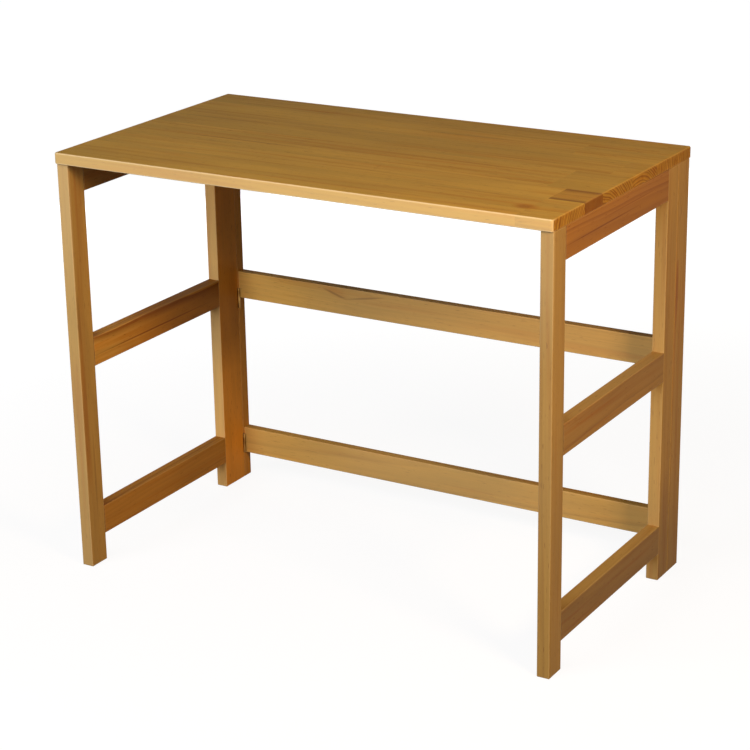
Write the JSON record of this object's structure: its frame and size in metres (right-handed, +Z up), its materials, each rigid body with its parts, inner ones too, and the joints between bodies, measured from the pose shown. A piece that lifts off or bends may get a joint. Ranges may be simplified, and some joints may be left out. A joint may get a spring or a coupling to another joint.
{
  "type": "folding desk",
  "caption": "Folding pine desk with hinged side frames that swing flat against a back frame, and a panel top that lifts on hinges at its rear edge.",
  "frame": {"origin": "on the floor, under the middle of the desktop", "axes": "+X to the sitter's right along the desktop, +Y towards the back frame, +Z up"},
  "size_m": [0.91, 0.508, 0.74],
  "materials": {
    "frame_pine": "stained medium oak under satin lacquer",
    "desktop_pine": "edge-glued staves, stained medium oak under satin lacquer",
    "dowel_beech": "bare turned beech",
    "hinge_brass": "rolled and brushed",
    "screw_brass": "turned"
  },
  "bodies": {
    "back_frame": {"left_back_post": "frame_pine", "right_back_post": "frame_pine", "back_top_rail": "frame_pine", "back_middle_rail": "frame_pine", "back_bottom_rail": "frame_pine", "back_frame_dowels": "dowel_beech", "left_top_hinge_post_leaf": "hinge_brass", "left_middle_hinge_post_leaf": "hinge_brass", "left_bottom_hinge_post_leaf": "hinge_brass", "left_top_hinge_pin": "hinge_brass", "left_middle_hinge_pin": "hinge_brass", "left_bottom_hinge_pin": "hinge_brass", "left_post_hinge_screws": "screw_brass", "right_top_hinge_post_leaf": "hinge_brass", "right_middle_hinge_post_leaf": "hinge_brass", "right_bottom_hinge_post_leaf": "hinge_brass", "right_top_hinge_pin": "hinge_brass", "right_middle_hinge_pin": "hinge_brass", "right_bottom_hinge_pin": "hinge_brass", "right_post_hinge_screws": "screw_brass", "desktop_left_hinge_rail_leaf": "hinge_brass", "desktop_middle_hinge_rail_leaf": "hinge_brass", "desktop_right_hinge_rail_leaf": "hinge_brass", "desktop_left_hinge_pin": "hinge_brass", "desktop_middle_hinge_pin": "hinge_brass", "desktop_right_hinge_pin": "hinge_brass", "back_rail_hinge_screws": "screw_brass"},
    "left_frame": {"left_front_leg": "frame_pine", "left_rear_leg": "frame_pine", "left_top_rail": "frame_pine", "left_middle_rail": "frame_pine", "left_bottom_rail": "frame_pine", "left_frame_dowels": "dowel_beech", "left_top_hinge_leg_leaf": "hinge_brass", "left_middle_hinge_leg_leaf": "hinge_brass", "left_bottom_hinge_leg_leaf": "hinge_brass", "left_leg_hinge_screws": "screw_brass"},
    "right_frame": {"right_front_leg": "frame_pine", "right_rear_leg": "frame_pine", "right_top_rail": "frame_pine", "right_middle_rail": "frame_pine", "right_bottom_rail": "frame_pine", "right_frame_dowels": "dowel_beech", "right_top_hinge_leg_leaf": "hinge_brass", "right_middle_hinge_leg_leaf": "hinge_brass", "right_bottom_hinge_leg_leaf": "hinge_brass", "right_leg_hinge_screws": "screw_brass"},
    "desktop": {"desktop": "desktop_pine", "desktop_left_hinge_top_leaf": "hinge_brass", "desktop_middle_hinge_top_leaf": "hinge_brass", "desktop_right_hinge_top_leaf": "hinge_brass", "desktop_hinge_screws": "screw_brass"}
  },
  "joints": [
    {"name": "left_frame_fold", "type": "hinge", "parent": "back_frame", "child": "left_frame", "pos_m": [-0.4305, 0.2288, 0.359], "axis": [0, 0, 1], "range_deg": [0, 90]},
    {"name": "right_frame_fold", "type": "hinge", "parent": "back_frame", "child": "right_frame", "pos_m": [0.4305, 0.2058, 0.359], "axis": [0, 0, -1], "range_deg": [0, 90]},
    {"name": "desktop_lift", "type": "hinge", "parent": "back_frame", "child": "desktop", "pos_m": [0, 0.2512, 0.7208], "axis": [-1, 0, 0], "range_deg": [0, 110]}
  ]
}
